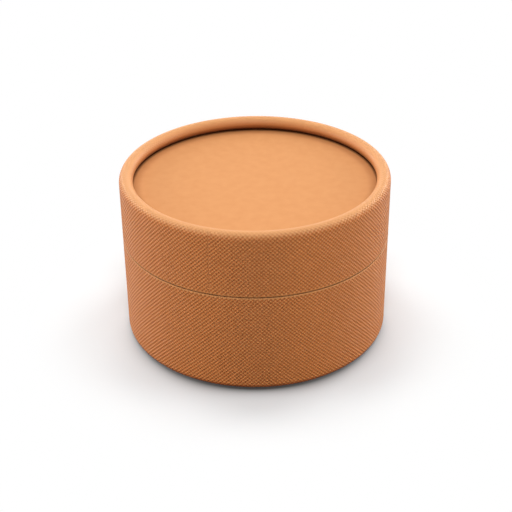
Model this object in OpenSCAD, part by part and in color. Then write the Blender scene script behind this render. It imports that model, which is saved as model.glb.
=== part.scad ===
// Round two-part gift tube box of wound board, covered in embossed paper.
// A lid and a base, both rolled over at their closed end, meet flush at a fine
// seam. A neck tube glued into the base guides the lid.
// The origin is the centre of the foot, on the surface that the box stands on.
// Every tube is a stack of layers, listed here from the outside inward:
// covering paper, glue film, wound board, glue film, lining paper.

/* [Overall] */
// Outside diameter over the covering paper
outer_d = 88; // [60:1:130]
// Height of the base, from the surface it stands on to its cut edge
base_h = 34.2; // [16:0.1:90]
// Height of the lid, from its cut edge to the top of its rolled rim
lid_h = 21.5; // [12:0.1:60]
// Open line between the cut edges while the lid rests on the neck
seam_gap = 0.3; // [0.1:0.05:0.8]

/* [Rolled rims] */
// Outside diameter of the roll, over the covering paper
roll_d = 4.5; // [4.1:0.1:6]
// Width of the flat that standing presses into the rolled foot
foot_flat_w = 1.2; // [0.8:0.1:1.6]

/* [Board] */
// Wall of the wound board tubes of the lid and the base
shell_wall = 1.2; // [0.8:0.05:1.25]
// Wall of the wound board neck tube
neck_wall = 1.2; // [0.8:0.1:2]
// Thickness of the board disc in the lid
lid_board_t = 1.5; // [1:0.1:2.5]
// Thickness of the board disc in the base
floor_board_t = 1.5; // [1:0.1:2.5]

/* [Paper] */
// Embossed covering paper on the tubes
wrap_t = 0.25; // [0.2:0.01:0.35]
// Face paper on the outside of both discs
face_t = 0.25; // [0.2:0.01:0.35]
// Lining paper inside the lid, the base and the neck, and on both discs
lining_t = 0.15; // [0.1:0.01:0.2]
// Paper on the outside of the neck
neck_paper_t = 0.15; // [0.1:0.01:0.2]

/* [Fits] */
// Glue film between a paper and what it covers
glue_t = 0.05; // [0.04:0.01:0.1]
// Running gap between the neck and the lid, which glue fills in the base
neck_clearance = 0.25; // [0.15:0.05:0.5]
// Gap round the edge of a disc that is pushed into a tube
disc_clearance = 0.1; // [0.05:0.05:0.3]

/* [Hidden] */

// Facets of the preview; the solids are true revolved surfaces
$fn = 144;
roll_facets = 72;

// Colours of the papers and of the bare board
covering_colour = "#C58553";
face_colour = "#EDA670";
lining_colour = "#E9DDC6";
board_colour = "#B9A68C";

// Depth of each tube layer under the outside of the tube
shell_depth = wrap_t + glue_t;
lining_depth = shell_depth + shell_wall + glue_t;
tube_t = lining_depth + lining_t;

// Radii, from the outside inward
outer_r = outer_d / 2;
bore_r = outer_r - tube_t;
disc_r = bore_r - disc_clearance;
neck_r = bore_r - neck_clearance;
neck_board_r = neck_r - neck_paper_t - glue_t;
neck_bore_r = neck_board_r - neck_wall;
inside_r = neck_bore_r - glue_t - lining_t;
floor_liner_r = inside_r - disc_clearance;

// The roll, and how far the foot's flat cuts into it
roll_r = roll_d / 2;
roll_axis_r = outer_r - roll_r;
foot_cut = roll_r - sqrt(pow(roll_r, 2) - pow(foot_flat_w / 2, 2));

// Heights in the base, from the foot upward
base_roll_z = roll_r - foot_cut;
bottom_paper_z = base_roll_z + roll_r + glue_t;
floor_board_z = bottom_paper_z + face_t + glue_t;
neck_z = floor_board_z + floor_board_t;
floor_liner_z = neck_z + glue_t;

// Heights in the lid, from the top of the box downward
box_h = base_h + seam_gap + lid_h;
lid_edge_z = base_h + seam_gap;
lid_roll_z = box_h - roll_r;
top_paper_z = lid_roll_z - roll_r - glue_t - face_t;
top_board_z = top_paper_z - glue_t - lid_board_t;
under_paper_z = top_board_z - glue_t - lining_t;

// The neck reaches up to the paper under the lid's disc, which rests on it
neck_h = under_paper_z - neck_z;

// One layer of a tube wall with a roll at its upper end, as a profile in
// radius and height. The roll's axis is at height 0. The layer starts at
// depth under the outside, comes up the wall, turns over inward and ends
// under the roll after three quarters of a turn.
module rolled_profile(depth, thickness, wall_len) {
    layer_outer = roll_r - depth;
    layer_inner = layer_outer - thickness;
    translate([roll_axis_r, 0]) {
        difference() {
            circle(r = layer_outer, $fn = roll_facets);
            circle(r = layer_inner, $fn = roll_facets);
            translate([0, -roll_r])
                square([roll_r, roll_r]);
        }
        translate([layer_inner, -wall_len])
            square([thickness, wall_len]);
    }
}

// A layer of the lid: rolled at the top, cut off square at the seam
module lid_layer(depth, thickness) {
    translate([0, 0, lid_roll_z])
        rotate_extrude()
            rolled_profile(depth, thickness, lid_roll_z - lid_edge_z);
}

// A layer of the base: the same tube the other way up, with the roll as its
// foot. Whatever reaches under the foot's flat is pressed away.
module base_layer(depth, thickness) {
    rotate_extrude()
        intersection() {
            translate([0, base_roll_z])
                mirror([0, 1])
                    rolled_profile(depth, thickness, base_h - base_roll_z);
            square([outer_r, base_h]);
        }
}

// A disc that lies inside a tube
module disc(radius, thickness, z) {
    translate([0, 0, z])
        cylinder(r = radius, h = thickness);
}

// One layer of the neck, named by its outside radius and its thickness
module neck_layer(outside, thickness) {
    translate([0, 0, neck_z])
        rotate_extrude()
            translate([outside - thickness, 0])
                square([thickness, neck_h]);
}

// Board tube of the lid, rolled over at the top
module lid_shell() {
    color(board_colour)
        lid_layer(shell_depth, shell_wall);
}

// Embossed covering paper of the lid, rolled over with the board
module lid_wrap() {
    color(covering_colour)
        lid_layer(0, wrap_t);
}

// Lining paper of the lid, the innermost layer of the roll
module lid_lining() {
    color(lining_colour)
        lid_layer(lining_depth, lining_t);
}

// Board disc pushed up against the underside of the lid's roll
module lid_top_board() {
    color(board_colour)
        disc(disc_r, lid_board_t, top_board_z);
}

// Face paper of the recessed top
module lid_top_paper() {
    color(face_colour)
        disc(disc_r, face_t, top_paper_z);
}

// Lining paper under the lid's disc, which rests on the neck
module lid_under_paper() {
    color(lining_colour)
        disc(disc_r, lining_t, under_paper_z);
}

// Board tube of the base, rolled over at the foot
module base_shell() {
    color(board_colour)
        base_layer(shell_depth, shell_wall);
}

// Embossed covering paper of the base, with the flat that it stands on
module base_wrap() {
    color(covering_colour)
        base_layer(0, wrap_t);
}

// Lining paper of the base, between its board and the neck
module base_lining() {
    color(lining_colour)
        base_layer(lining_depth, lining_t);
}

// Board disc pushed down onto the rolled foot
module base_floor_board() {
    color(board_colour)
        disc(disc_r, floor_board_t, floor_board_z);
}

// Face paper of the recessed underside
module base_bottom_paper() {
    color(face_colour)
        disc(disc_r, face_t, bottom_paper_z);
}

// Lining paper on the floor, inside the neck
module floor_liner() {
    color(lining_colour)
        disc(floor_liner_r, lining_t, floor_liner_z);
}

// Board neck tube, standing on the floor board
module neck_tube() {
    color(board_colour)
        neck_layer(neck_board_r, neck_wall);
}

// Paper on the outside of the neck, over which the lid slides
module neck_wrap() {
    color(lining_colour)
        neck_layer(neck_r, neck_paper_t);
}

// Lining paper on the inside of the neck
module neck_lining() {
    color(lining_colour)
        neck_layer(neck_bore_r - glue_t, lining_t);
}

lid_shell();
lid_wrap();
lid_lining();
lid_top_board();
lid_top_paper();
lid_under_paper();
base_shell();
base_wrap();
base_lining();
base_floor_board();
base_bottom_paper();
floor_liner();
neck_tube();
neck_wrap();
neck_lining();
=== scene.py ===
# %% [markdown]
# # A round gift tube box in Blender
# The real object is a small drum made of paper and board. A lid and a base, both wound board tubes covered in
# an embossed paper, meet at a fine seam, and a plain board neck glued into the base guides the lid. The exact
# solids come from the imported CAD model, so this lesson gives them their surfaces: paper that is pressed into
# a cross-hatch, smooth face paper, bare board and cream lining paper.

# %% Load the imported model
import math

import bpy
import numpy as np
from mathutils import Matrix, Vector


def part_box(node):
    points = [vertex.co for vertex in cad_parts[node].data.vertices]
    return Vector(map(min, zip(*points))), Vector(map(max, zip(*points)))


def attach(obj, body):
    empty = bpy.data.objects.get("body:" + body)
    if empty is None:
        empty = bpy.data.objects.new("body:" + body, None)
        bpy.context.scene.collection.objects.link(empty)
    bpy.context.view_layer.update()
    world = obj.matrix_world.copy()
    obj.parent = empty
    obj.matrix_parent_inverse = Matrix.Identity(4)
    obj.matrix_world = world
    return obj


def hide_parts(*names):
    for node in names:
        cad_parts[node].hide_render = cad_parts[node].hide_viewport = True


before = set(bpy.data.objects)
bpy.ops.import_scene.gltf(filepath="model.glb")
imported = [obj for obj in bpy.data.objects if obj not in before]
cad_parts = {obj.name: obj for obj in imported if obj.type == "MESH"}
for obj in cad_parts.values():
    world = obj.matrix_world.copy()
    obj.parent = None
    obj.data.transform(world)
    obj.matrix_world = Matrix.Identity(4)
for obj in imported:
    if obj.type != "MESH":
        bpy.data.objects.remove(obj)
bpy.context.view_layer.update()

MM = 0.001
print("pieces in the frame:", len(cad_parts))

# %% [markdown]
# ## Sizes that the pieces share
# Blender works in metres here, and so does the frame. The outside radius and the heights are read from the
# corner points of the solids, so a piece made in this file can't drift away from the solid that it stands
# for. The paper's thickness, the roll and the flat that the foot stands on repeat the sizes of the source.

# %% Read the sizes of the tube
lid_low, lid_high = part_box("lid_wrap")
base_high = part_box("base_wrap")[1]
OUTER_R = base_high[0]
BASE_TOP = base_high[2]
LID_EDGE = lid_low[2]
BOX_H = lid_high[2]
PAPER_T = 0.25 * MM
ROLL_R = 2.25 * MM
ROLL_AXIS_R = OUTER_R - ROLL_R
FOOT_FLAT = 1.2 * MM
FOOT_CUT = ROLL_R - math.sqrt(ROLL_R ** 2 - (FOOT_FLAT / 2) ** 2)
print("outside diameter mm", round(2 * OUTER_R / MM, 2), "height mm", round(BOX_H / MM, 2))

# %% [markdown]
# ## The camera
# The photograph looks down at the box from about thirty degrees with a long lens, so the walls lean together
# only a little. The lens, the distance and the small roll of the camera follow from the outline of the box
# in the picture. The camera could be aimed with a constraint or with three angles. It is placed by three
# directions at right angles instead, because these can be read off: forward, right and up.

# %% Place the camera
CAMERA_LENS_MM = 81.5
SENSOR_MM = 36.0
CAMERA_DISTANCE = 392.08 * MM
CAMERA_ELEVATION = math.radians(30.54)
CAMERA_ROLL = -0.01119
NEAREST_SEEN = 0.01
AIM_POINT = Vector((0.08 * MM, 0.0, 23.13 * MM))

forward = Vector((0.0, math.cos(CAMERA_ELEVATION), -math.sin(CAMERA_ELEVATION)))
level_right = Vector((1.0, 0.0, 0.0))
level_up = Vector((0.0, math.sin(CAMERA_ELEVATION), math.cos(CAMERA_ELEVATION)))
camera_right = level_right * math.cos(CAMERA_ROLL) + level_up * math.sin(CAMERA_ROLL)
camera_up = level_up * math.cos(CAMERA_ROLL) - level_right * math.sin(CAMERA_ROLL)

camera_data = bpy.data.cameras.new("photo_camera")
camera_data.lens = CAMERA_LENS_MM
camera_data.sensor_width = SENSOR_MM
camera_data.clip_start = NEAREST_SEEN
camera = bpy.data.objects.new("photo_camera", camera_data)
bpy.context.scene.collection.objects.link(camera)
camera_axes = Matrix((camera_right, camera_up, -forward)).transposed()
camera.matrix_world = Matrix.Translation(AIM_POINT - forward * CAMERA_DISTANCE) @ camera_axes.to_4x4()
bpy.context.scene.camera = camera
bpy.context.scene.view_settings.view_transform = "Standard"
print("camera stands at mm", [round(c / MM, 1) for c in camera.matrix_world.translation])

# %% [markdown]
# ## Two helpers for materials
# A colour picker gives sRGB values, while Blender's shaders add light in linear values, so one function turns
# a hex colour into linear. The other adds a node, fills in its settings and links its inputs. A link is given
# as the output socket of another node, and a plain value is set on the socket itself. Most sockets go by
# their name. A Mix node has sockets for every kind of data under the same names, so those for colours are
# picked by their place in its list.

# %% Turn a hex colour into linear values, and add a node
MIX_SHARE = 0
MIX_FROM = 6
MIX_TO = 7
MIX_RESULT = 2


def linear(hex_colour):
    values = [int(hex_colour[i:i + 2], 16) / 255 for i in (1, 3, 5)]
    return [v / 12.92 if v <= 0.04045 else ((v + 0.055) / 1.055) ** 2.4 for v in values] + [1.0]


def node(tree, kind, inputs=None, **settings):
    made = tree.nodes.new(kind)
    for name, value in settings.items():
        setattr(made, name, value)
    for name, value in (inputs or {}).items():
        if isinstance(value, bpy.types.NodeSocket):
            tree.links.new(value, made.inputs[name])
        else:
            made.inputs[name].default_value = value
    return made


print("mid grey in linear:", round(linear("#808080")[0], 3))

# %% [markdown]
# ## How a paper or board surface is put together
# Every sheet here is a mat of plant fibres. To the eye that is a mostly matt surface with a faint cloudiness
# a few millimetres wide, where the fibres lie thicker or thinner, and a fine tooth that roughens the
# highlight. A photographed texture would show one spot of one sheet, so noise is used, which covers any size.
# One function makes that common ground, and each material passes its own colours and sizes. It takes its
# places from the object's own coordinates, which are metres, so a noise scale is one over a size in metres
# and the grain is as fine on the small discs as on the walls. Single fibres are some hundredths of a
# millimetre wide, too fine to show, so the tooth is drawn as coarse as it needs to show.

# %% Make the common ground of a fibre sheet
PAPER_IOR = 1.5
CLOUD_SIZE = 3 * MM
CLOUD_DETAIL = 3.0
CLOUD_THIN = 0.3
CLOUD_THICK = 0.7
FIBRE_SIZE = 0.35 * MM
FIBRE_DETAIL = 2.0
FIBRE_SHARE = 0.3
ROUGHNESS_SPREAD = 0.06


def fibre_sheet(name, light_hex, dark_hex, roughness, tooth, cloud=0.5, gloss=0.3):
    material = bpy.data.materials.new(name)
    material.use_nodes = True
    tree = material.node_tree
    tree.nodes.clear()
    place = node(tree, "ShaderNodeTexCoord").outputs["Object"]
    clouds = node(tree, "ShaderNodeTexNoise",
                  {"Vector": place, "Scale": 1 / CLOUD_SIZE, "Detail": CLOUD_DETAIL})
    fibres = node(tree, "ShaderNodeTexNoise",
                  {"Vector": place, "Scale": 1 / FIBRE_SIZE, "Detail": FIBRE_DETAIL})
    spread = node(tree, "ShaderNodeMapRange",
                  {"Value": clouds.outputs["Fac"], "From Min": CLOUD_THIN, "From Max": CLOUD_THICK,
                   "To Min": 0.5 - cloud / 2, "To Max": 0.5 + cloud / 2})
    speckle = node(tree, "ShaderNodeMath",
                   {0: fibres.outputs["Fac"], 1: FIBRE_SHARE, 2: spread.outputs[0]},
                   operation="MULTIPLY_ADD")
    mixed = node(tree, "ShaderNodeMix",
                 {MIX_SHARE: speckle.outputs[0], MIX_FROM: linear(dark_hex), MIX_TO: linear(light_hex)},
                 data_type="RGBA")
    colour = mixed.outputs[MIX_RESULT]
    rough = node(tree, "ShaderNodeMapRange",
                 {"Value": fibres.outputs["Fac"], "To Min": roughness - ROUGHNESS_SPREAD,
                  "To Max": roughness + ROUGHNESS_SPREAD})
    bump = node(tree, "ShaderNodeBump",
                {"Strength": 1.0, "Distance": tooth, "Height": fibres.outputs["Fac"]})
    shader = node(tree, "ShaderNodeBsdfPrincipled",
                  {"Base Color": colour, "Roughness": rough.outputs[0], "IOR": PAPER_IOR,
                   "Specular IOR Level": gloss, "Normal": bump.outputs["Normal"]})
    node(tree, "ShaderNodeOutputMaterial", {"Surface": shader.outputs["BSDF"]})
    parts = {"tree": tree, "place": place, "colour": colour, "shader": shader, "bump": bump, "fibres": fibres}
    return material, parts


print("clouds mm", round(CLOUD_SIZE / MM, 2), "tooth mm", round(FIBRE_SIZE / MM, 2))

# %% [markdown]
# ## Embossed covering paper
# The walls are covered in a coated paper, dyed tan, that ran between engraved steel rollers. They pressed
# two sets of fine grooves into it, at forty-five degrees left and right of upright, about a millimetre from
# line to line. The coating gives the eye a soft satin sheen, so the roughness is that of a satin coating and
# the gloss is held low.
#
# The relief itself is real geometry, made further down. The material does what geometry would need far more
# faces for. First come painted highlight and painted shade along the roll. Each point of the mesh carries how
# many quarter turns round the roll it lies, above zero on the lid and below zero on the base, so the painted
# tones stay with the paper whatever way the box is seen. The rim is painted paler as a painted highlight, and
# the paper is painted brown as painted shade where the roll dips into the crease beside the disc, at the foot
# and under it. A cut edge carries a small number of its own that picks painted shade from the same table, and
# the upper edge of the base carries one that picks the painted highlight.

# %% Paint highlight and shade on the embossed paper along the roll
ROLL_TURN = "roll_turn"
# Painted highlight and painted shade along the roll, counted in quarter turns from the wall
ROLL_PAINTED_HIGHLIGHT_AND_SHADE = [
    # (quarter turns where the tone starts, where it is full, how much of it then covers the paper, tone)
    (0.1, 0.6, 1.0, "#E9A66C"),  # painted highlight on the rim
    (1.35, 2.1, 0.7, "#9A5426"),  # painted shade down into the crease
    (1.95, 2.6, 0.9, "#3E1A08"),  # painted shade deep in the crease
    (0.0, -0.25, 0.6, "#8A3A10"),  # painted shade at the foot and the cut edges
    (-0.35, -0.65, 0.85, "#3A1C0A"),  # painted shade under the foot
]

embossed_paper, parts = fibre_sheet("embossed_coated_paper", "#E19A5A", "#DB9152",
                                    roughness=0.42, tooth=0.004 * MM, gloss=0.18)
tree = parts["tree"]
round_roll = node(tree, "ShaderNodeAttribute", attribute_name=ROLL_TURN)
land = parts["colour"]
for start, full, most, tone in ROLL_PAINTED_HIGHLIGHT_AND_SHADE:
    share = node(tree, "ShaderNodeMapRange",
                 {"Value": round_roll.outputs["Fac"], "From Min": start, "From Max": full, "To Max": most})
    toned = node(tree, "ShaderNodeMix",
                 {MIX_SHARE: share.outputs[0], MIX_FROM: land, MIX_TO: linear(tone)}, data_type="RGBA")
    land = toned.outputs[MIX_RESULT]
print("tones along the roll:", len(ROLL_PAINTED_HIGHLIGHT_AND_SHADE))

# %% [markdown]
# ### The colour in the grooves
# Where the rollers pressed, the coating is denser, so a groove is painted a deeper, more saturated tan than
# the pale land between, and deepest where two grooves cross. That colour is partly the coating's own and
# partly painted shade in the grooves. A UV map that is made with the mesh counts hatch cells round and up the
# paper.
# The sum of the two counts grows across one set of grooves and their difference across the other, so the
# cosine of each gives a groove in every cell. The mesh also carries how strongly the hatch is pressed, which
# fades out over the roll.

# %% Darken the grooves
HATCH_MAP = "hatch_cells"
HATCH_FADE = "hatch_strength"
PIT_SHADE = 0.4

fade = node(tree, "ShaderNodeAttribute", attribute_name=HATCH_FADE)
cells = node(tree, "ShaderNodeSeparateXYZ", {0: node(tree, "ShaderNodeUVMap", uv_map=HATCH_MAP).outputs[0]})
grooves = []
slopes = []
for way in ("ADD", "SUBTRACT"):
    across = node(tree, "ShaderNodeMath", {0: cells.outputs[0], 1: cells.outputs[1]}, operation=way)
    angle = node(tree, "ShaderNodeMath", {0: across.outputs[0], 1: math.tau}, operation="MULTIPLY")
    wave = node(tree, "ShaderNodeMath", {0: angle.outputs[0]}, operation="COSINE")
    groove = node(tree, "ShaderNodeMapRange", {"Value": wave.outputs[0], "From Min": -1.0})
    slope = node(tree, "ShaderNodeMath", {0: angle.outputs[0]}, operation="SINE")
    grooves.append(groove.outputs[0])
    slopes.append(slope.outputs[0])
both = node(tree, "ShaderNodeMath", {0: grooves[0], 1: grooves[1]}, operation="ADD")
pressed = node(tree, "ShaderNodeMath", {0: both.outputs[0], 1: fade.outputs["Fac"]}, operation="MULTIPLY")
# The groove colour below is partly the coating's own and partly painted shade in the grooves.
groove_shade_share = node(tree, "ShaderNodeMath", {0: fade.outputs["Fac"], 1: PIT_SHADE}, operation="MULTIPLY")
pit = node(tree, "ShaderNodeMath", {0: pressed.outputs[0], 1: groove_shade_share.outputs[0]}, operation="MULTIPLY")
darker = node(tree, "ShaderNodeMix",
              {MIX_SHARE: pit.outputs[0], MIX_FROM: land, MIX_TO: linear("#B84A02")}, data_type="RGBA")
tree.links.new(darker.outputs[MIX_RESULT], parts["shader"].inputs["Base Color"])
print("grooves drawn:", len(grooves), "sets")

# %% [markdown]
# ### The lean of the groove walls
# The mesh carries the relief, but its faces are a fifth of a cell wide, which rounds the grooves off. A
# normal map could sharpen them, and this one is worked out in nodes rather than read from an image. The sine
# of the same two counts is the slope of each groove. Their sum leans the surface round the box and their
# difference leans it up the wall, and packed into a colour they go to a Normal Map node on the hatch's UV
# map, so the light falls on crisp groove walls.

# %% Lean the surface with the grooves
GROOVE_CRISPNESS = 0.36
HALF = (0.5, 0.5, 0.5)

lean_round = node(tree, "ShaderNodeMath", {0: slopes[0], 1: slopes[1]}, operation="ADD")
lean_up = node(tree, "ShaderNodeMath", {0: slopes[0], 1: slopes[1]}, operation="SUBTRACT")
lean = node(tree, "ShaderNodeCombineXYZ", {0: lean_round.outputs[0], 1: lean_up.outputs[0]})
steepness = node(tree, "ShaderNodeMath", {0: fade.outputs["Fac"], 1: -GROOVE_CRISPNESS}, operation="MULTIPLY")
leaning = node(tree, "ShaderNodeVectorMath", {0: lean.outputs[0], "Scale": steepness.outputs[0]},
               operation="SCALE")
outward = node(tree, "ShaderNodeVectorMath", {0: leaning.outputs[0], 1: (0.0, 0.0, 1.0)}, operation="ADD")
unit = node(tree, "ShaderNodeVectorMath", {0: outward.outputs[0]}, operation="NORMALIZE")
packed = node(tree, "ShaderNodeVectorMath", {0: unit.outputs[0], 1: HALF, 2: HALF}, operation="MULTIPLY_ADD")
hatch_normal = node(tree, "ShaderNodeNormalMap", {"Color": packed.outputs[0]}, uv_map=HATCH_MAP)
tree.links.new(hatch_normal.outputs["Normal"], parts["bump"].inputs["Normal"])
print("material made:", embossed_paper.name)

# %% [markdown]
# ## Face paper and lining paper
# The discs in the top and in the underside carry a coated tan paper that wasn't embossed, so it is smooth and
# matt, with only a faint cloudiness. Where a disc runs up to the roll, its last three millimetres are painted
# browner as painted shade, and the narrow crevice under the roll is painted almost black as painted shadow.
# Both rings are drawn by the distance from the box's axis, which holds for any view. Painted into an image
# they would look the same, but the disc would have to be unwrapped first.
#
# The inside is lined with a cream uncoated paper. Without a coating it is softer and rougher to the eye, so
# it has the higher roughness and the deeper tooth.

# %% Make the face paper and the lining paper
CORNER_R = 39.3 * MM
CORNER_WIDTH = 3.0 * MM
CORNER_SHARE = 0.38
CREVICE_WIDTH = 1.2 * MM
CREVICE_SHARE = 0.92
LEVEL_ONLY = (1.0, 1.0, 0.0)

face_paper, parts = fibre_sheet("smooth_coated_paper", "#E8A36A", "#E39C62",
                                roughness=0.6, tooth=0.004 * MM, cloud=0.7, gloss=0.1)
tree = parts["tree"]
flat_place = node(tree, "ShaderNodeVectorMath", {0: parts["place"], 1: LEVEL_ONLY}, operation="MULTIPLY")
from_axis = node(tree, "ShaderNodeVectorMath", {0: flat_place.outputs[0]}, operation="LENGTH")
# The ring by the roll and the crevice under it are painted shade.
corner = node(tree, "ShaderNodeMapRange",
              {"Value": from_axis.outputs["Value"], "From Min": CORNER_R - CORNER_WIDTH,
               "From Max": CORNER_R, "To Max": CORNER_SHARE}, interpolation_type="SMOOTHSTEP")
corner_painted_shade = node(tree, "ShaderNodeMix",
                {MIX_SHARE: corner.outputs[0], MIX_FROM: parts["colour"], MIX_TO: linear("#A96230")},
                data_type="RGBA")
crevice = node(tree, "ShaderNodeMapRange",
               {"Value": from_axis.outputs["Value"], "From Min": CORNER_R,
                "From Max": CORNER_R + CREVICE_WIDTH, "To Max": CREVICE_SHARE})
crevice_painted_shadow = node(tree, "ShaderNodeMix",
             {MIX_SHARE: crevice.outputs[0], MIX_FROM: corner_painted_shade.outputs[MIX_RESULT],
              MIX_TO: linear("#3E1A08")}, data_type="RGBA")
tree.links.new(crevice_painted_shadow.outputs[MIX_RESULT], parts["shader"].inputs["Base Color"])

lining_paper, parts = fibre_sheet("uncoated_lining_paper", "#ECE1CB", "#E2D5BB",
                                  roughness=0.8, tooth=0.02 * MM)
print("materials made:", face_paper.name, lining_paper.name)

# %% [markdown]
# ## Wound board
# The tubes under the papers are wound from many plies of kraft board, and the discs are pressed from the same
# stock. Raw board is matt and warm brown, with the deepest tooth of all. It shows only where it is cut, and
# there the plies look like fine rings, about a third of a millimetre apart. Rings could be an image or a wave
# texture. A sine of the distance from the axis is enough, and the fibres make it wander a little.

# %% Make the wound board
PLY = 0.3 * MM
PLY_WANDER = 0.1 * MM
PLY_START = -0.2
PLY_SHARE = 0.35

wound_board, parts = fibre_sheet("wound_board", "#B5855A", "#9F724A",
                                 roughness=0.85, tooth=0.03 * MM, cloud=0.9)
tree = parts["tree"]
flat_place = node(tree, "ShaderNodeVectorMath", {0: parts["place"], 1: LEVEL_ONLY}, operation="MULTIPLY")
from_axis = node(tree, "ShaderNodeVectorMath", {0: flat_place.outputs[0]}, operation="LENGTH")
wander = node(tree, "ShaderNodeMath",
              {0: parts["fibres"].outputs["Fac"], 1: PLY_WANDER, 2: from_axis.outputs["Value"]},
              operation="MULTIPLY_ADD")
ring_angle = node(tree, "ShaderNodeMath", {0: wander.outputs[0], 1: math.tau / PLY}, operation="MULTIPLY")
ring = node(tree, "ShaderNodeMath", {0: ring_angle.outputs[0]}, operation="SINE")
ring_share = node(tree, "ShaderNodeMapRange",
                  {"Value": ring.outputs[0], "From Min": PLY_START, "To Max": PLY_SHARE})
plies = node(tree, "ShaderNodeMix",
             {MIX_SHARE: ring_share.outputs[0], MIX_FROM: parts["colour"], MIX_TO: linear("#8A6238")},
             data_type="RGBA")
tree.links.new(plies.outputs[MIX_RESULT], parts["shader"].inputs["Base Color"])
print("material made:", wound_board.name)

# %% [markdown]
# ## The two embossed coverings as meshes
# The solids of the covering papers are smooth. The real paper isn't, and its grooves are wide enough to catch
# light one by one, so both coverings are made again here with the relief in their points. A displacement
# modifier on a sheet could do it, but the grooves would then run at whatever angle the sheet's faces have. A
# lathe mesh suits a tube better: a profile of rows, turned round the axis in columns. Rows and columns are a
# fifth of a hatch cell apart, so every groove runs through points and comes out as crisp as the next. The
# columns stop a little short of a whole number of cells, so where the two ends of the paper lap, their
# hatches don't meet.

# %% Describe the hatch
STEPS = 5
CELL_UP = 1.33 * MM
ROW_STEP = CELL_UP / STEPS
WHOLE_CELLS = 206
COLUMNS_SHORT = 2
COLUMNS = WHOLE_CELLS * STEPS - COLUMNS_SHORT
CELLS_ROUND = COLUMNS / STEPS
GROOVE_DEPTH = 0.1 * MM
print("hatch cell mm", round(math.tau * OUTER_R / CELLS_ROUND / MM, 3), "by", CELL_UP / MM)

# %% [markdown]
# ### The profile
# The profile is a closed outline of the paper's thickness. It rounds the outer corner of the cut edge, which
# handling has worn a little, comes up the wall, turns three quarters of a circle inward over the roll, and
# goes back along the inside to the cut edge. Height 0 is the roll's axis. Each row holds where it is, which
# way is outward, how many hatch cells it is up, how strongly the hatch is pressed there, and its place in
# the table of tones. A curve with a bevel could draw the same outline, but its points wouldn't fall on the
# rows of the hatch. On the wall the rows do, and the hatch runs out just before the edge, where the knife
# pressed it flat.

# %% Draw the cut edge and the wall
ROW_HOLDS = ("radius", "height", "out_round", "out_up", "cells_up", "strength", "tone")
EDGE_ROUND = 0.12 * MM
EDGE_ROWS = 5
EDGE_SHADE_ROWS = 3
BORDER = 0.35 * MM
HIGHLIGHT_WIDTH = 0.8 * MM
# The cut edge's tone is painted shade in the seam; the upper edge of the base gets a painted highlight.
CUT_EDGE_SHADE = -0.3
BASE_EDGE_HIGHLIGHT = 0.42


def edge_rows(wall_len, edge_highlight):
    """The rounded outer corner of the cut edge, in painted shade. Given an edge tone above zero, its upper
    rows take that painted highlight instead.
    """
    rows = []
    for i in range(EDGE_ROWS):
        a = math.radians(-90 + 90 * i / EDGE_ROWS)
        radius = OUTER_R - EDGE_ROUND + EDGE_ROUND * math.cos(a)
        height = -wall_len + EDGE_ROUND * (1 + math.sin(a))
        # The lower rows of the corner stay in painted shade; the upper ones take a painted highlight where one
        # is given.
        tone = edge_highlight if edge_highlight > 0.0 and i >= EDGE_SHADE_ROWS else CUT_EDGE_SHADE
        rows.append((radius, height, math.cos(a), math.sin(a), 0.0, 0.0, tone))
    return rows


def wall_rows(wall_len, edge_highlight):
    rows = []
    for i in range(int((wall_len - EDGE_ROUND) / ROW_STEP), -1, -1):
        from_edge = wall_len - EDGE_ROUND - i * ROW_STEP
        strength = min(1.0, max(0.0, from_edge / BORDER))
        # Near the cut edge a painted highlight, where one is given, fades away from the edge.
        tone = edge_highlight * max(0.0, 1.0 - from_edge / HIGHLIGHT_WIDTH)
        rows.append((OUTER_R, -i * ROW_STEP, 1.0, 0.0, -i / STEPS, strength, tone))
    return rows


print("a row of the profile holds:", ", ".join(ROW_HOLDS))

# %% [markdown]
# ### The roll and the inside
# Over the roll the rows go on at the same distance along the paper, so the cells keep their size. The curling
# die stretches the paper and rubs it, so the hatch fades out as the roll turns inward. The inside of the
# paper lies on the board and is never seen, so it has few rows and no hatch.

# %% Draw the roll, the inside and the whole profile
QUARTER_TURN = math.pi / 2
ROLL_ARC = 1.5 * math.pi
FADE_START = math.radians(15)
FADE_END = math.radians(88)
INSIDE_ROWS = 13
INNER_CORNER = 0.05 * MM
INNER_CORNER_ROWS = 2


def roll_rows(roll_hatch, turn_sign):
    """roll_hatch is what is left of the hatch past FADE_END. turn_sign is -1 where the roll is a foot."""
    rows = []
    for i in range(1, int(ROLL_ARC * ROLL_R / ROW_STEP) + 1):
        a = i * ROW_STEP / ROLL_R
        faded = min(1.0, max(0.0, (a - FADE_START) / (FADE_END - FADE_START)))
        strength = 1.0 - (1.0 - roll_hatch) * faded ** 2 * (3.0 - 2.0 * faded)
        radius = ROLL_AXIS_R + ROLL_R * math.cos(a)
        height = ROLL_R * math.sin(a)
        tone = turn_sign * a / QUARTER_TURN
        rows.append((radius, height, math.cos(a), math.sin(a), i / STEPS, strength, tone))
    return rows


def inside_rows(wall_len, turn_sign):
    rows = []
    inner_r = ROLL_R - PAPER_T
    for i in range(INSIDE_ROWS):
        a = ROLL_ARC * (1 - i / (INSIDE_ROWS - 1))
        radius = ROLL_AXIS_R + inner_r * math.cos(a)
        height = inner_r * math.sin(a)
        tone = turn_sign * a / QUARTER_TURN
        rows.append((radius, height, -math.cos(a), -math.sin(a), 0.0, 0.0, tone))
    inner_wall = OUTER_R - PAPER_T
    rows.append((inner_wall, -wall_len + INNER_CORNER, -1.0, 0.0, 0.0, 0.0, CUT_EDGE_SHADE))
    rows.append((inner_wall + INNER_CORNER, -wall_len, 0.0, -1.0, 0.0, 0.0, CUT_EDGE_SHADE))
    return rows


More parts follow.
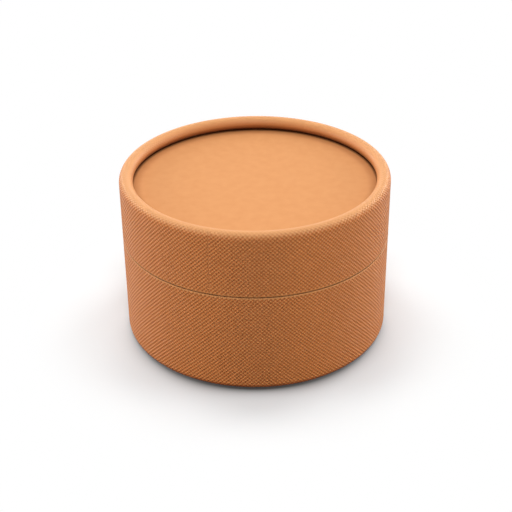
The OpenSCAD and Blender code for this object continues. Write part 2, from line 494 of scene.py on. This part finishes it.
def rolled_profile(wall_len, roll_hatch, turn_sign, edge_highlight):
    rows = edge_rows(wall_len, edge_highlight) + wall_rows(wall_len, edge_highlight)
    rows += roll_rows(roll_hatch, turn_sign) + inside_rows(wall_len, turn_sign)
    return dict(zip(ROW_HOLDS, np.array(rows).T))


print("the roll turns through degrees", round(math.degrees(ROLL_ARC)))

# %% [markdown]
# ### Pressing the grooves
# The depth at a point is the sum of two cosine grooves. An engraved roller presses unevenly, so the depth
# wanders slowly over the paper by a few smooth waves, and each crossing gets its own small share from a
# random table. The table is seeded, which gives the same paper at each run.

# %% Press the grooves into a profile
WANDER_WAVES = 6
WANDER_TURNS = (3, 30)
WANDER_RISE = 0.25
WANDER_SHARE = 0.05
CELL_SPREAD = 0.04
TABLE_ROWS = 80


def pressed_depth(columns, profile, seed):
    rng = np.random.default_rng(seed)
    round_cells = columns[None, :] / STEPS
    up_cells = profile["cells_up"][:, None]
    rising = 0.5 + 0.5 * np.cos(math.tau * (round_cells - up_cells))
    falling = 0.5 + 0.5 * np.cos(math.tau * (round_cells + up_cells))
    wander_a = np.ones_like(rising)
    wander_b = np.ones_like(rising)
    for _ in range(WANDER_WAVES):
        turns = rng.integers(*WANDER_TURNS)
        rise = rng.uniform(-WANDER_RISE, WANDER_RISE)
        phase = rng.uniform(0, math.tau, 2)
        angle = math.tau * (turns * round_cells / CELLS_ROUND + rise * up_cells)
        wander_a = wander_a + WANDER_SHARE * np.sin(angle + phase[0])
        wander_b = wander_b + WANDER_SHARE * np.sin(angle + phase[1])
    table = rng.uniform(1 - CELL_SPREAD, 1 + CELL_SPREAD, (TABLE_ROWS, int(CELLS_ROUND) + 2))
    own_share = table[np.round(up_cells).astype(int) % TABLE_ROWS, np.round(round_cells).astype(int)]
    depth = 0.5 * GROOVE_DEPTH * (rising * wander_a + falling * wander_b) * own_share
    return depth * profile["strength"][:, None]


print("a crossing is pressed mm", round(GROOVE_DEPTH / MM, 2), "deep, more or less")

# %% [markdown]
# ### The lap
# The paper goes once round the tube and its ends lap. The outer end covers the hatch of the inner one, the
# two hatches don't meet, and the surface steps down a little, which shows in the photograph as a faint
# upright line. A seam drawn in the material would stay flat in raking light, so the points are moved. The
# columns are counted from the lap: the step lies between the last column and the first, the surface comes
# back up over the next millimetre, the hatch is flattened close to both ends, and a thin line beside the
# step takes the paler tone of the rim.

# %% Step the surface down at the lap
LAP_STEP = 0.07 * MM
LAP_WIDTH = 0.9 * MM
LAP_BORDER = 0.2 * MM
LAP_REACH = -0.5
LAP_LINE_TONE = 0.4
LAP_LINE_WIDTH = 0.35 * MM
FRONT_DEGREES = -90
BACK_DEGREES = 90


def lapped_depth(depth, from_lap, profile):
    rows = len(profile["radius"])
    step = LAP_STEP * np.exp(-from_lap / LAP_WIDTH)
    on_outside = np.arange(rows) < rows - INSIDE_ROWS - INNER_CORNER_ROWS
    stepped = on_outside & (profile["out_round"] > LAP_REACH)
    near_ends = np.minimum(np.minimum(from_lap, from_lap[::-1]) / LAP_BORDER, 1.0)
    return depth * near_ends[None, :] + step[None, :] * stepped[:, None]


def lapped_tones(from_lap, profile):
    tone = profile["tone"][:, None]
    pale_line = LAP_LINE_TONE * np.maximum(0.0, 1.0 - np.abs(from_lap - LAP_LINE_WIDTH) / LAP_LINE_WIDTH)
    return np.where(tone >= 0.0, np.maximum(tone, pale_line[None, :]), tone)


print("step at the lap mm", round(LAP_STEP / MM, 2))

# %% [markdown]
# ### The maps
# Two UV maps are written face by face. One counts hatch cells for the material. The other lays the paper out
# flat in two strips without overlap, for anyone who bakes the material into an image. They can't be one and
# the same, because a bake must stay inside the unit square and the cells count far beyond it.

# %% Write the two UV maps
BAKE_MAP = "OFBake"
BAKE_STRIPS = 2
BAKE_MARGIN = 0.002


def write_maps(mesh, profile, flip):
    rows = len(profile["radius"])
    radius = np.append(profile["radius"], profile["radius"][0])
    height = np.append(profile["height"], profile["height"][0])
    along = np.concatenate([[0], np.cumsum(np.hypot(np.diff(radius), np.diff(height)))])
    cells_up = np.append(profile["cells_up"], profile["cells_up"][-1])
    row, column = np.meshgrid(np.arange(rows), np.arange(COLUMNS), indexing="ij")
    corners = [(0, 0), (0, 1), (1, 1), (1, 0)]
    if flip:
        corners = corners[::-1]
    strip = column * BAKE_STRIPS // COLUMNS
    inner = 1 - 2 * BAKE_MARGIN
    hatch_uv = []
    bake_uv = []
    for down, over in corners:
        hatch_uv.append(np.stack([(column + over) / STEPS, cells_up[row + down]], axis=2))
        u = (column + over) * BAKE_STRIPS / COLUMNS - strip
        v = along[row + down] / along[-1]
        bake_uv.append(np.stack([BAKE_MARGIN + u * inner,
                                 (strip + BAKE_MARGIN + v * inner) / BAKE_STRIPS], axis=2))
    for map_name, values in ((BAKE_MAP, bake_uv), (HATCH_MAP, hatch_uv)):
        layer = mesh.uv_layers.new(name=map_name)
        layer.data.foreach_set("uv", np.stack(values, axis=2).reshape(-1).astype(np.float32))


print("UV maps to write:", BAKE_MAP, HATCH_MAP)

# %% [markdown]
# ### Building the mesh
# The points of all rows and columns go into one array, and each face joins four neighbours. The last row
# joins the first and the last column joins the first, so the mesh is closed. Arrays do this in a moment,
# where a loop over nearly two hundred thousand points takes seconds. The base is the same tube the other
# way up, which turns its faces inside out, so there the corners of each face are listed backward.

# %% Build a covering from a profile
def joined_faces(rows, flip):
    row = np.arange(rows)[:, None]
    column = np.arange(COLUMNS)[None, :]
    next_row = (row + 1) % rows
    next_column = (column + 1) % COLUMNS
    corners = [row * COLUMNS + column, row * COLUMNS + next_column,
               next_row * COLUMNS + next_column, next_row * COLUMNS + column]
    if flip:
        corners = corners[::-1]
    return np.stack(corners, axis=2).reshape(-1, 4)


def build_covering(name, profile, place, lap_angle, seed):
    """place turns (radius, height) of the profile into the box's own radius and height."""
    columns = np.arange(COLUMNS)
    from_lap = columns * math.tau / COLUMNS * OUTER_R
    depth = lapped_depth(pressed_depth(columns, profile, seed), from_lap, profile)
    radius = profile["radius"][:, None] - depth * profile["out_round"][:, None]
    height = profile["height"][:, None] - depth * profile["out_up"][:, None]
    radius, height, flip = place(radius, height)
    angle = lap_angle + columns * math.tau / COLUMNS
    points = np.stack([radius * np.cos(angle), radius * np.sin(angle), height], axis=2)
    faces = joined_faces(len(profile["radius"]), flip)
    mesh = bpy.data.meshes.new(name)
    mesh.from_pydata(points.reshape(-1, 3), [], faces.tolist())
    mesh.polygons.foreach_set("use_smooth", np.ones(len(faces), dtype=bool))
    write_maps(mesh, profile, flip)
    strengths = np.repeat(profile["strength"][:, None], COLUMNS, axis=1)
    tones = lapped_tones(from_lap, profile)
    for attribute_name, values in ((HATCH_FADE, strengths), (ROLL_TURN, tones)):
        attribute = mesh.attributes.new(attribute_name, "FLOAT", "POINT")
        attribute.data.foreach_set("value", values.reshape(-1).astype(np.float32))
    mesh.update()
    piece = bpy.data.objects.new(name, mesh)
    bpy.context.scene.collection.objects.link(piece)
    mesh.materials.append(embossed_paper)
    print(name, "faces", len(faces), "deepest groove mm", round(float(depth.max()) / MM, 3))
    return piece


# %% [markdown]
# ## The covering of the lid
# On the lid the roll is the rim at the top. Hardly any hatch is left on it, because the die that curled it
# pressed it smooth. The lap lies a little left of the middle of the front, where the photograph shows it.

# %% Make the covering of the lid
LID_ROLL_Z = BOX_H - ROLL_R
LAP_LEFT_OF_FRONT = 18.9
LID_LAP = math.radians(FRONT_DEGREES - LAP_LEFT_OF_FRONT)
LID_ROLL_HATCH = 0.15


def place_lid(radius, height):
    return radius, LID_ROLL_Z + height, False


lid_profile = rolled_profile(LID_ROLL_Z - LID_EDGE, LID_ROLL_HATCH, turn_sign=1.0, edge_highlight=0.0)
lid_covering = build_covering("lid_covering_paper", lid_profile, place_lid, LID_LAP, seed=7)
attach(lid_covering, "lid")
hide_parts("lid_wrap")

# %% [markdown]
# ## The covering of the base
# The base is the same tube turned over, with the roll as its foot. Standing has pressed the foot flat, so
# what would reach below the floor is lifted to it. More of the hatch is left on this roll, as in the
# photograph. Its upper cut edge is painted as a light line along the seam, a painted highlight.
# The photograph shows no lap on the base, so it lies at the back.

# %% Make the covering of the base
BASE_ROLL_Z = ROLL_R - FOOT_CUT
LAP_BESIDE_BACK = 20
BASE_LAP = math.radians(BACK_DEGREES - LAP_BESIDE_BACK)
BASE_ROLL_HATCH = 0.7


def place_base(radius, height):
    return radius, np.maximum(BASE_ROLL_Z - height, 0.0), True


base_profile = rolled_profile(BASE_TOP - BASE_ROLL_Z, BASE_ROLL_HATCH, turn_sign=-1.0, edge_highlight=BASE_EDGE_HIGHLIGHT)
base_covering = build_covering("base_covering_paper", base_profile, place_base, BASE_LAP, seed=19)
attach(base_covering, "base")
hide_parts("base_wrap")

# %% [markdown]
# ## Dressing the solids that stay
# The discs, linings, boards and the neck already have the right shape, so they keep their solids. A finish is
# given by putting the material into the piece's first material slot.

# %% Give each solid its finish
FINISHES = {
    "lid_top_paper": face_paper,
    "base_bottom_paper": face_paper,
    "lid_shell": wound_board,
    "lid_top_board": wound_board,
    "base_shell": wound_board,
    "base_floor_board": wound_board,
    "neck_tube": wound_board,
    "lid_lining": lining_paper,
    "lid_under_paper": lining_paper,
    "base_lining": lining_paper,
    "floor_liner": lining_paper,
    "neck_wrap": lining_paper,
    "neck_lining": lining_paper,
}
for name, material in FINISHES.items():
    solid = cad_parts[name]
    solid.data.materials.clear()
    solid.data.materials.append(material)
print("solids dressed:", len(FINISHES))

# %% [markdown]
# ## The floor
# The box stands on a white paper sweep, which is matt and shows no edge. Here it is one large disc. Close to
# the box it is a matt surface that takes the shadow, a little cool as in the photograph, and farther out it
# blends into pure white like the world behind it. A curved sweep would need far more room and would darken
# toward the back. The distance from the box chooses between the two.

# %% Choose what the floor shows
SHADOW_R = 46 * MM
WHITE_R = 80 * MM
COOL_R = 48 * MM
NEUTRAL_R = 80 * MM

floor_material = bpy.data.materials.new("matt_white_sweep")
floor_material.use_nodes = True
tree = floor_material.node_tree
tree.nodes.clear()
place = node(tree, "ShaderNodeTexCoord").outputs["Object"]
distance = node(tree, "ShaderNodeVectorMath", {0: place}, operation="LENGTH").outputs["Value"]
whitened = node(tree, "ShaderNodeMapRange",
                {"Value": distance, "From Min": SHADOW_R, "From Max": WHITE_R},
                interpolation_type="SMOOTHSTEP")
balance = node(tree, "ShaderNodeMapRange", {"Value": distance, "From Min": COOL_R, "From Max": NEUTRAL_R})
sweep_colour = node(tree, "ShaderNodeMix",
                    {MIX_SHARE: balance.outputs[0], MIX_FROM: linear("#E9EFF2"),
                     MIX_TO: linear("#FFFFFF")}, data_type="RGBA")
print("the floor takes the shadow out to mm", round(WHITE_R / MM))

# %% [markdown]
# ### The shade under the foot
# At the front, where the foot meets the floor, the photograph has a dark line of shade that soft lamps alone
# don't make. Lamps that made it would darken the box too, so a tone in the floor adds it. It falls off
# steeply within a centimetre, and runs out toward the sides of the box.

# %% Shade the floor where the foot stands on it
CONTACT_R = 43.5 * MM
CONTACT_WIDTH = 10.5 * MM
CONTACT_POWER = 4.5

touch = node(tree, "ShaderNodeMapRange",
             {"Value": distance, "From Min": CONTACT_R, "From Max": CONTACT_R + CONTACT_WIDTH,
              "To Min": 1.0, "To Max": 0.0})
touch_steep = node(tree, "ShaderNodeMath", {0: touch.outputs[0], 1: CONTACT_POWER}, operation="POWER")
floor_axes = node(tree, "ShaderNodeSeparateXYZ", {0: place})
in_front = node(tree, "ShaderNodeMapRange",
                {"Value": floor_axes.outputs["Y"], "From Min": -CONTACT_R, "From Max": 0.0,
                 "To Min": 1.0, "To Max": 0.0})
contact = node(tree, "ShaderNodeMath", {0: touch_steep.outputs[0], 1: in_front.outputs[0]},
               operation="MULTIPLY")
shaded_colour = node(tree, "ShaderNodeMix",
                     {MIX_SHARE: contact.outputs[0], MIX_FROM: sweep_colour.outputs[MIX_RESULT],
                      MIX_TO: linear("#3A332E")}, data_type="RGBA")
print("the contact shade reaches mm", round(CONTACT_WIDTH / MM, 1), "out from the foot")

# %% [markdown]
# ### Seeing the floor without being lit by it
# So large a white floor would throw much light back onto the box. Light Path tells a material what kind of
# ray meets it. The rays that come from the camera, or that a shiny or clear surface sends back, see the white
# sweep. All others meet a dim matt grey, so only the lamps light the box.

# %% Tell the rays that see the floor from those that light the box
FLOOR_LIFT = 0.04

rays = node(tree, "ShaderNodeLightPath")
sent_back = node(tree, "ShaderNodeMath",
                 {0: rays.outputs["Is Glossy Ray"], 1: rays.outputs["Is Transmission Ray"]},
                 operation="ADD")
seen = node(tree, "ShaderNodeMath", {0: rays.outputs["Is Camera Ray"], 1: sent_back.outputs[0]},
            operation="ADD", use_clamp=True)
matt = node(tree, "ShaderNodeBsdfDiffuse", {"Color": shaded_colour.outputs[MIX_RESULT]})
dim_matt = node(tree, "ShaderNodeBsdfDiffuse", {"Color": linear("#A0A0A0")})
lift = node(tree, "ShaderNodeEmission", {"Color": linear("#FFFFFF"), "Strength": FLOOR_LIFT})
near = node(tree, "ShaderNodeAddShader", {0: matt.outputs[0], 1: lift.outputs[0]})
white = node(tree, "ShaderNodeEmission", {"Color": linear("#FFFFFF"), "Strength": 1.0})
shown = node(tree, "ShaderNodeMixShader", {0: whitened.outputs[0], 1: near.outputs[0], 2: white.outputs[0]})
surface = node(tree, "ShaderNodeMixShader", {0: seen.outputs[0], 1: dim_matt.outputs[0], 2: shown.outputs[0]})
node(tree, "ShaderNodeOutputMaterial", {"Surface": surface.outputs[0]})
print("material made:", floor_material.name)

# %% [markdown]
# ### Laying the floor
# The disc lies a hair under the foot, so the two faces never share a place and flicker.

# %% Lay the floor
FLOOR_R = 3.0
FLOOR_DROP = 0.02 * MM
FLOOR_CORNERS = 64

floor_angles = [math.tau * i / FLOOR_CORNERS for i in range(FLOOR_CORNERS)]
floor_points = [(FLOOR_R * math.cos(a), FLOOR_R * math.sin(a), 0.0) for a in floor_angles]
floor_mesh = bpy.data.meshes.new("floor")
floor_mesh.from_pydata(floor_points, [], [list(range(FLOOR_CORNERS))])
floor_mesh.materials.append(floor_material)
floor = bpy.data.objects.new("floor", floor_mesh)
floor.location.z = -FLOOR_DROP
bpy.context.scene.collection.objects.link(floor)
print("floor laid, corners:", len(floor_mesh.vertices))

# %% [markdown]
# ## The light
# The photograph has the look of a light tent: the top of the box is brightest, both sides are lit from large
# white panels, and the front is darkest, so the hatch stands out there. One sun would give hard shadows, and
# a bright world would light all sides alike. Large area lamps, a metre away and all round the box, give those
# soft gradients, and their powers are set so that each side of the box is as bright as in the photograph.

# %% Hang the lamps
LAMP_DISTANCE = 1.0
LAMP_WIDTH = 0.4
LIT_POINT = Vector((0.0, 0.0, 30 * MM))
LAMPS = {
    # name: (degrees round the box from the front, degrees above the floor, power in watts)
    "front_low": (0, 12, 0.2),
    "front_high": (0, 40, 2.8),
    "front_top": (0, 60, 2.2),
    "back_top": (200, 72, 1.4),
    "back_high": (180, 40, 0.8),
    "back_low": (180, 12, 0.5),
    "left_low": (270, 12, 4.85),
    "left_high": (270, 40, 0.3),
    "right_low": (90, 12, 3.75),
    "right_high": (90, 40, 0.9),
    "back_left_low": (225, 12, 2.35),
    "back_left_high": (225, 40, 1.5),
    "back_right_low": (135, 12, 3.1),
    "back_right_high": (135, 40, 1.7),
}
for name, (degrees_round, degrees_up, power) in LAMPS.items():
    around = math.radians(degrees_round)
    above = math.radians(degrees_up)
    level = math.cos(above)
    toward = Vector((math.sin(around) * level, -math.cos(around) * level, math.sin(above)))
    lamp = bpy.data.lights.new(name, "AREA")
    lamp.shape = "SQUARE"
    lamp.size = LAMP_WIDTH
    lamp.energy = power
    lamp_object = bpy.data.objects.new(name, lamp)
    lamp_object.location = LIT_POINT + toward * LAMP_DISTANCE
    lamp_object.rotation_euler = toward.to_track_quat("Z", "Y").to_euler()
    bpy.context.scene.collection.objects.link(lamp_object)
print("lamps:", len(LAMPS), "watts in all:", round(sum(row[2] for row in LAMPS.values()), 2))

# %% [markdown]
# ## The surround
# Behind the floor the photograph is plain white. The world shows that white to the camera and to what a
# shiny or clear surface sends back, and is dark to all other rays, so only the lamps light the box.

# %% Surround the scene with white
world = bpy.data.worlds.new("white_surround")
world.use_nodes = True
tree = world.node_tree
tree.nodes.clear()
rays = node(tree, "ShaderNodeLightPath")
sent_back = node(tree, "ShaderNodeMath",
                 {0: rays.outputs["Is Glossy Ray"], 1: rays.outputs["Is Transmission Ray"]},
                 operation="ADD")
seen = node(tree, "ShaderNodeMath", {0: rays.outputs["Is Camera Ray"], 1: sent_back.outputs[0]},
            operation="ADD", use_clamp=True)
unlit = node(tree, "ShaderNodeBackground", {"Strength": 0.0})
white = node(tree, "ShaderNodeBackground", {"Color": linear("#FFFFFF"), "Strength": 1.0})
surround = node(tree, "ShaderNodeMixShader", {0: seen.outputs[0], 1: unlit.outputs[0], 2: white.outputs[0]})
node(tree, "ShaderNodeOutputWorld", {"Surface": surround.outputs[0]})
bpy.context.scene.world = world
print("world made:", world.name)
